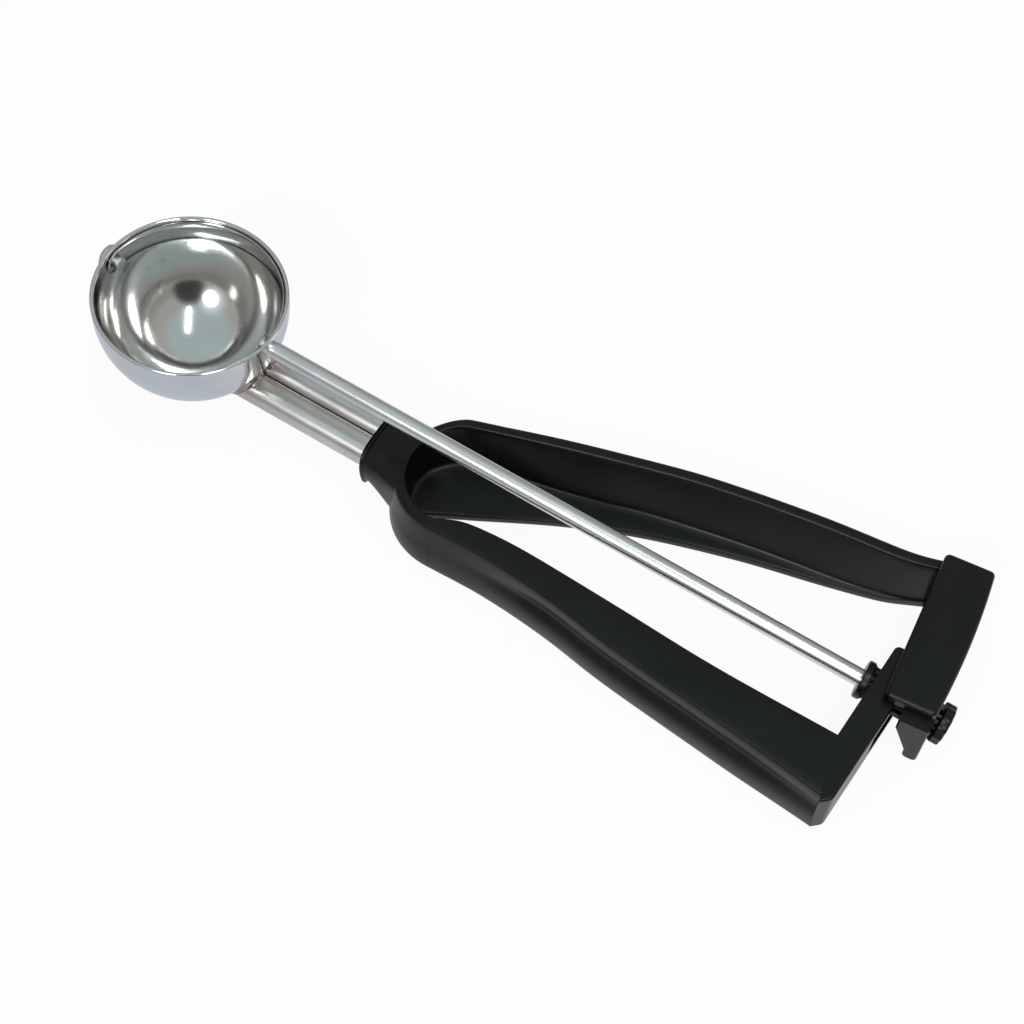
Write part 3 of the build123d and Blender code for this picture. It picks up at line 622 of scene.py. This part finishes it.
def shelf_edge(turn):
    """The shelf's free edge, which leaves the wall at one turn and runs straight to the hinge line."""
    if turn >= SHELF_TURN:
        return bend_point(turn, *HAND_LINE)
    share = part_way(turn, SHELF_TURN, FAR_TURN) ** SHELF_SPREAD
    return bend_point(SHELF_TURN, *HAND_LINE).lerp(Vector((HINGE_X, SHELF_Y)), share)


def bend_ring(turn):
    """One ring of the bend: the wall all round, and the shelf from where it starts."""
    outer, foot, inner = (bend_point(turn, *line) for line in (UPPER_LINE, LOWER_LINE, HAND_LINE))
    rib = (foot - outer).length
    ring = []
    for away, z in wall_section(rib, 0.0, -BEND_WALL):
        place = outer.lerp(foot, away / rib) if away >= 0 else outer.lerp(inner, -away / BEND_WALL)
        ring.append((*place, z))
    free = shelf_edge(turn)
    wide = (inner - free).length
    inwards = (free - inner) / wide if wide else Vector((0, 0))
    full = part_way(wide, 0.0, SHELF_FULL)
    lean = min(FULL_LEAN * part_way(turn, *LEAN_TURNS), 0.5 * wide)
    round_in = min(ROOT_ROUND, 0.5 * (wide - lean))
    round_up = mix(round_in, ROOT_ROUND, full)
    low = smooth(part_way(turn, *LOW_TURNS))
    foot_in = -EDGE_ROUND * full * inwards + FOOT_ROUND * (1 - full) * (outer - inner).normalized()
    bare = (0.0, FOOT_ROUND, *(UNDER + rise for rise in BARE_RISE))
    beside = (0.0, FOOT_ROUND, *BESIDE_SHELF)
    root = (SHELF + ROOT_BULGE[1] * round_up, SHELF + round_up)
    shelf = (0.0, EDGE_ROUND, SHELF - FOOT_ROUND, SHELF, SHELF, *root)
    steps_in = (
        *(wide, wide, wide),
        wide - SHELF_TIP * round_in,
        lean + round_in,
        lean + ROOT_BULGE[0] * round_in,
        max(lean - EDGE_ROUND, 0.0),
    )
    for place, step in enumerate(steps_in):
        z = mix(mix(bare[place], beside[place], low), shelf[place], full)
        point = inner + step * inwards + (foot_in if place == 0 else Vector((0, 0)))
        ring.append((*point, z))
    return ring


def bend_rings():
    """The bend's rings, with a short run and a hidden end inside either arm."""
    seam_x, end_x = HINGE_X + OVERLAP, HINGE_X + OVERLAP_END
    rings = [drawn_in(at_x(end_x, near_section(end_x)), OVERLAP_IN), at_x(seam_x, near_section(seam_x))]
    rings += [bend_ring(turn) for turn in NEAR_TURNS + FAR_TURNS]
    rings += [at_x(seam_x, far_section(seam_x)), drawn_in(at_x(end_x, far_section(end_x)), -OVERLAP_IN)]
    return rings


# ---- the neck: a socket round the shank, under the rod ----
ROD_TILT = radians(7.4)
ROD_HEIGHT = 22.2007
SHANK_DROP = 13.5               # how far the shank's axis lies below the rod's
SOCKET_X = -10.2
SOCKET_SIDES = (-8.9, 7.5)
SOCKET_HEIGHTS = (4.4, 14.6)
SOCKET_ROUND = 4.0              # the corners' rounding at the socket, and where it meets the bend
NECK_ROUND = 1.2
NECK_X = 2.0                    # where the flare's near side meets the bend's outside, and its far side
NECK_FAR = 7.3
NECK_IN = 1.5                   # how deep in the bend's wall the neck ends
CORNER_PULL = 0.25              # how far a corner's middle point lies from the corner
# Share of the way from the socket's lip to the bend, and of the widening: near side, far side, height.
NECK_STEPS = (
    (0.0, -0.12, 3.0, -0.6),
    (0.012, 0.02, 0.0, 0.0),
    (0.04, 0.08, -2.0, 0.4),
    (0.075, 0.08, -2.0, 0.4),
    (0.11, 0.03, 0.0, 0.0),
    (0.2, 0.08, 0.0, 0.0),
    (0.33, 0.16, 0.0, 0.2),
    (0.47, 0.28, 0.3, 0.4),
    (0.64, 0.46, 0.6, 0.7),
    (0.82, 0.72, 0.8, 0.9),
    (1.0, 1.0, 1.0, 1.0),
)


def rounded_section(corners, radius):
    """A section of y and z through a four-sided outline's rounded corners, with a point on each side."""
    section = []
    for place, at in enumerate(corners):
        corner, after = Vector(at), Vector(corners[(place + 1) % len(corners)])
        back, ahead = (Vector(corners[place - 1]) - corner).normalized(), (after - corner).normalized()
        section.append(corner + radius * back)
        section.append(corner + CORNER_PULL * radius * (back + ahead))
        section.append(corner + radius * ahead)
        section.append(corner.lerp(after, 0.5))
    return section


def neck_rings():
    """The socket round the shank, flaring into the bend; its end follows the middle of the bend's wall."""
    centre_y = BEND_R - BEND_NEAR
    near_y = centre_y - (BEND_R**2 - (HINGE_X - NECK_X) ** 2) ** 0.5
    rings = []
    for share, near, far, tall in NECK_STEPS:
        low = mix(SOCKET_HEIGHTS[0], EDGE_ROUND, tall)
        high = mix(SOCKET_HEIGHTS[1], ARM_H - EDGE_ROUND, tall)
        left, right = mix(SOCKET_SIDES[0], near_y, near), mix(SOCKET_SIDES[1], NECK_FAR, far)
        corners = ((left, low), (right, low), (right, high), (left, high))
        ring = []
        for y, z in rounded_section(corners, mix(SOCKET_ROUND, NECK_ROUND, part_way(near, 0.0, 1.0))):
            inside = HINGE_X - max(0.0, (BEND_R - NECK_IN) ** 2 - (y - centre_y) ** 2) ** 0.5
            ring.append((mix(SOCKET_X, inside, share), y, z))
        rings.append(ring)
    return rings


def make_handle(black):
    """The bend with its neck, and the two arms' skins."""
    bend = piece("handle_bend", skin(bend_rings()), black)
    neck = piece("handle_neck", skin(neck_rings()), black)
    near = piece("near_arm_shell", skin(near_arm_rings()), black)
    far = piece("far_arm_shell", skin(far_arm_rings()), black)
    for made in (bend, neck):
        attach(made, "frame")
        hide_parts("handle_yoke")
    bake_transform(near)
    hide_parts("near_arm")
    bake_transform(far)
    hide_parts("far_arm")


# ---- bowl, blade, collar and knob: places along the rod's axis, heights square to it, in millimetres ----
BOWL_S = -59.3
BOWL_R = 22.0
BOWL_WALL = 0.9
BAND_UPS = (1.3, 2.5)           # points up the straight band
RIM_UP = 3.8
RIM_ROUND = 0.35
BOWL_STEPS = 180
BLADE_R = 21.02
BLADE_WALL = 0.5                # at the blade's middle, and along its edges
BLADE_EDGE = 0.08
BLADE_HALF = 3.0
BLADE_ACROSS = (-1.0, -0.85, -0.5, 0.0, 0.5, 0.85, 1.0)
BLADE_STEPS = 132
BLADE_TIP = 0.12                # how blunt its rounded ends are
COLLAR_BACK_S = 110.85          # the thin step behind the collar: place, length, radius and rounding
COLLAR_BACK_LONG = 0.35
COLLAR_BACK_R = 3.9
COLLAR_BACK_ROUND = 0.1
COLLAR_STEPS = 48
KNOB_S = 126.9
KNOB_LONG = 2.3
KNOB_R = 4.65
KNOB_ROUND = 0.45
GRIPS = 12
GRIP_SHAPE = (0.93, 0.975, 1.0, 0.975)      # shares of the radius from one hollow to the next
LOBE_Y = 3.55                   # the shank's two lobes: middle, flats and rounding
LOBE_FLAT_Y = 0.55
LOBE_FLAT_Z = 0.1
LOBE_ROUND = 3.1
BEAD_POINTS = 24
# The bead round a lobe: how far out from the lobe, and how far along it from the bowl's outside.
BEAD_STEPS = ((1.0, -0.35), (0.9, 0.0), (0.45, 0.35), (0.18, 0.8), (0.05, 1.4), (-0.15, 1.7))
SAME = 0.01                     # heights and places closer than this are the same


def rod_place(along_rod):
    """The place on the rod's axis, with Z square to the rod."""
    turn = Matrix.Rotation(ROD_TILT, 4, "Y")
    at = Vector((along_rod * cos(ROD_TILT), 0, ROD_HEIGHT - along_rod * sin(ROD_TILT)))
    return Matrix.Translation(at) @ turn


def spun(outline, angle, steps, start=0.0):
    """An outline of distance and height, spun round the bowl's axis and closed."""
    shape = bmesh.new()
    verts = [shape.verts.new((away * cos(start), away * sin(start), up)) for away, up in outline]
    edges = [shape.edges.new(pair) for pair in zip(verts, verts[1:])]
    whole = angle > 2 * pi - SAME
    bmesh.ops.spin(
        shape, geom=verts + edges, cent=(0, 0, 0), axis=(0, 0, 1), angle=angle, steps=steps, use_merge=whole
    )
    bmesh.ops.remove_doubles(shape, verts=shape.verts, dist=0.1 * SAME)
    bmesh.ops.holes_fill(shape, edges=[edge for edge in shape.edges if edge.is_boundary])
    bmesh.ops.recalc_face_normals(shape, faces=shape.faces)
    return shape


def bowl_shape():
    """A pressed half ball with a short straight band and a rounded rim."""
    inner, middle = BOWL_R - BOWL_WALL, BOWL_R - BOWL_WALL / 2
    arc = [radians(turn) for turn in range(-90, 1, 2)]
    outline = [(BOWL_R * cos(turn), BOWL_R * sin(turn)) for turn in arc]
    outline += [(BOWL_R, up) for up in BAND_UPS]
    for side in range(0, 181, 20):
        turn = radians(side)
        outline.append((middle + BOWL_WALL / 2 * cos(turn), RIM_UP - RIM_ROUND + RIM_ROUND * sin(turn)))
    outline += [(inner, up) for up in reversed(BAND_UPS)]
    outline += [(inner * cos(turn), inner * sin(turn)) for turn in reversed(arc)]
    shape = spun(outline, 2 * pi, BOWL_STEPS)
    shape.transform(rod_place(BOWL_S))
    return shape


def blade_shape():
    """A thin half ring that follows the bowl's far side, thinner at its edges and with rounded ends."""
    ups = [BLADE_HALF * share for share in BLADE_ACROSS]
    outline = [((BLADE_R**2 - up * up) ** 0.5, up) for up in ups]
    for up in reversed(ups):
        wall = mix(BLADE_WALL, BLADE_EDGE, (up / BLADE_HALF) ** 4)
        outline.append(((BLADE_R**2 - up * up) ** 0.5 - wall, up))
    outline.append(outline[0])
    lap = BLADE_HALF / BLADE_R
    shape = spun(outline, pi + 2 * lap, BLADE_STEPS, start=-lap)
    for vert in shape.verts:
        turn = atan2(vert.co.y, vert.co.x)
        past = turn + pi if turn < -pi / 2 else max(0.0, -turn)
        vert.co.z *= max(BLADE_TIP, 1 - min(1.0, past / lap) ** 2) ** 0.5
    shape.transform(rod_place(BOWL_S))
    return shape


def soften_rims(shape, by):
    """Rounds the edges that lie square to the Z axis."""
    rims = [edge for edge in shape.edges if abs(edge.verts[0].co.z - edge.verts[1].co.z) < SAME]
    bmesh.ops.bevel(shape, geom=rims, offset=by, affect="EDGES", segments=3, profile=0.5, material=-1)


def lay_along_rod(shape, along_rod):
    """Turns a shape's Z axis along the rod and sets it at a place on the rod."""
    turn = rod_place(along_rod) @ Matrix.Rotation(radians(90), 4, "Y")
    bmesh.ops.transform(shape, matrix=turn, verts=shape.verts)


def collar_shape():
    """The thin round step behind the collar."""
    shape = bmesh.new()
    size = COLLAR_BACK_R
    bmesh.ops.create_cone(
        shape, cap_ends=True, segments=COLLAR_STEPS, radius1=size, radius2=size, depth=COLLAR_BACK_LONG
    )
    bmesh.ops.translate(shape, verts=shape.verts, vec=(0, 0, COLLAR_BACK_LONG / 2))
    soften_rims(shape, COLLAR_BACK_ROUND)
    lay_along_rod(shape, COLLAR_BACK_S)
    return shape


def knob_shape():
    """The end knob: a short round grip with shallow hollows round it."""
    shape = bmesh.new()
    bmesh.ops.create_circle(shape, cap_ends=True, segments=4 * GRIPS, radius=KNOB_R)
    for vert in shape.verts:
        step = round(atan2(vert.co.y, vert.co.x) / (pi / 2 / GRIPS)) % 4
        vert.co *= GRIP_SHAPE[step]
    raised = bmesh.ops.extrude_face_region(shape, geom=list(shape.faces))["geom"]
    top = [item for item in raised if isinstance(item, bmesh.types.BMVert)]
    bmesh.ops.translate(shape, verts=top, vec=(0, 0, KNOB_LONG))
    soften_rims(shape, KNOB_ROUND)
    bmesh.ops.recalc_face_normals(shape, faces=shape.faces)
    lay_along_rod(shape, KNOB_S)
    return shape


def bead_shape(side):
    """A small fillet of braze round one lobe of the shank, from the bowl's outside along the lobe."""
    rings = []
    for grow, beyond in BEAD_STEPS:
        ring = []
        for step in range(BEAD_POINTS):
            turn = 2 * pi * (step + 0.5) / BEAD_POINTS
            y = side * LOBE_Y + copysign(LOBE_FLAT_Y, cos(turn)) + (LOBE_ROUND + grow) * cos(turn)
            up = copysign(LOBE_FLAT_Z, sin(turn)) + (LOBE_ROUND + grow) * sin(turn) - SHANK_DROP
            ring.append((BOWL_S + (BOWL_R**2 - y * y - up * up) ** 0.5 + beyond, y, up))
        rings.append(ring)
    shape = skin(rings)
    bmesh.ops.transform(shape, matrix=rod_place(0.0), verts=shape.verts)
    return shape


def make_bowl_and_blade(bowl_steel):
    """The bowl, and the blade that sweeps through it."""
    bowl = piece("bowl_shell", bowl_shape(), bowl_steel, levels=0)
    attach(bowl, "frame")
    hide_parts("bowl")
    blade = piece("blade_strip", blade_shape(), bowl_steel, levels=0)
    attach(blade, "spindle")
    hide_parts("scraper_blade")


def make_spindle_pieces(black):
    """The step behind the collar and the end knob, which turn with the rod."""
    collar = piece("collar_back", collar_shape(), black, levels=0)
    knob = piece("grip_knob", knob_shape(), black, levels=0)
    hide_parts("end_knob")
    for made in (collar, knob):
        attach(made, "spindle")


def make_beads(braze_steel):
    """The two fillets of braze where the shank's lobes meet the bowl."""
    for side, name in ((-1, "near_bead"), (1, "far_bead")):
        bead = piece(name, bead_shape(side), braze_steel, levels=1)
        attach(bead, "frame")
        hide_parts("braze")


# ---- materials: patterns in repeats a metre, relief in millimetres ----
LINE_RELIEF = 0.02
STAINS = 90.0
STAINS_FROM = 0.35
STAINS_TO = 0.62
POLISH = 0.7            # least roughness, as a share of the given one, and how much the lines add
POLISH_CHANGE = 0.6
GRAIN = 2600.0
GRAIN_RELIEF = 0.03
WEAR = 120.0
CLEAN_PLASTIC = (0.0015, 0.0015, 0.0016)
DUSTY_PLASTIC = (0.0038, 0.0038, 0.0038)
SMOOTH_PLASTIC = 0.32
WORN_PLASTIC = 0.38


def steel(name, colour, shade, rough, stretch, lines, bump):
    """Polished steel with fine lines along one axis, faint stains and uneven polish."""
    material, tree = new_material(name)
    place = tree.nodes.new("ShaderNodeTexCoord").outputs["Object"]
    stretched = node(tree, "ShaderNodeMapping", Scale=stretch)
    tree.links.new(place, stretched.inputs["Vector"])
    grain = noise(tree, stretched.outputs[0], scale=lines, detail=6.0, rough=0.65)
    stains = noise(tree, place, scale=STAINS, detail=3.0, rough=0.5)
    surface = node(tree, "ShaderNodeBsdfPrincipled", Metallic=1.0)
    stained = ramp(tree, stains, (STAINS_FROM, shade), (STAINS_TO, colour))
    tree.links.new(stained, surface.inputs["Base Color"])
    uneven = math_node(tree, "MULTIPLY", grain, POLISH_CHANGE * rough)
    tree.links.new(math_node(tree, "ADD", uneven, POLISH * rough), surface.inputs["Roughness"])
    relief(tree, surface, grain, strength=bump, depth=LINE_RELIEF)
    show(tree, surface.outputs[0])
    return material


def moulded_plastic(name):
    """Black moulded plastic with a fine grain, faint dust and a satin gloss."""
    material, tree = new_material(name)
    place = tree.nodes.new("ShaderNodeTexCoord").outputs["Object"]
    grain = noise(tree, place, scale=GRAIN, detail=4.0, rough=0.7)
    wear = noise(tree, place, scale=WEAR, detail=5.0, rough=0.6)
    surface = node(tree, "ShaderNodeBsdfPrincipled", IOR=1.5, Specular_IOR_Level=0.31)
    dust = ramp(tree, wear, (0.3, CLEAN_PLASTIC), (0.75, DUSTY_PLASTIC))
    tree.links.new(dust, surface.inputs["Base Color"])
    gloss = ramp(tree, wear, (0.3, SMOOTH_PLASTIC), (0.7, WORN_PLASTIC))
    tree.links.new(gloss, surface.inputs["Roughness"])
    relief(tree, surface, grain, strength=0.14, depth=GRAIN_RELIEF)
    show(tree, surface.outputs[0])
    return material


def dress(nodes, material):
    """Gives CAD nodes a material."""
    for name in nodes:
        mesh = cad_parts[name].data
        mesh.materials.clear()
        mesh.materials.append(material)


place_camera()
lay_floor()
light_world()
hang_lamp(
    "ceiling_tube",
    at=(0.74, -0.30, 2.0),
    long_side=(0.56, -0.83, 0),
    size=(1.2, 0.08),
    power=13.0,
    colour=(0.93, 1.0, 0.98),
)
hang_lamp("round_lamp", at=(0.10, -0.75, 0.72), long_side=(1, 0, 0), size=(0.30,), power=3.0)

black = moulded_plastic("black_plastic")
bowl_steel = steel(
    "bowl_steel",
    colour=(0.73, 0.73, 0.72),
    shade=(0.69, 0.68, 0.66),
    rough=0.11,
    stretch=(1, 1, 6),
    lines=60.0,
    bump=0.06,
)
rod_steel = steel(
    "drawn_steel",
    colour=(0.71, 0.71, 0.71),
    shade=(0.66, 0.65, 0.64),
    rough=0.30,
    stretch=(0.02, 1, 1),
    lines=900.0,
    bump=0.02,
)
shank_steel = steel(
    "rolled_steel",
    colour=(0.72, 0.71, 0.69),
    shade=(0.62, 0.58, 0.54),
    rough=0.30,
    stretch=(0.02, 1, 1),
    lines=600.0,
    bump=0.02,
)
braze_steel = steel(
    "braze_metal",
    colour=(0.56, 0.52, 0.49),
    shade=(0.36, 0.30, 0.27),
    rough=0.2,
    stretch=(1, 1, 1),
    lines=500.0,
    bump=0.1,
)
dress(("rod", "pivot_rivet"), rod_steel)
dress(("shank",), shank_steel)
dress(("rack_bar", "end_block", "pinion"), black)
make_handle(black)
make_bowl_and_blade(bowl_steel)
make_spindle_pieces(black)
make_beads(braze_steel)
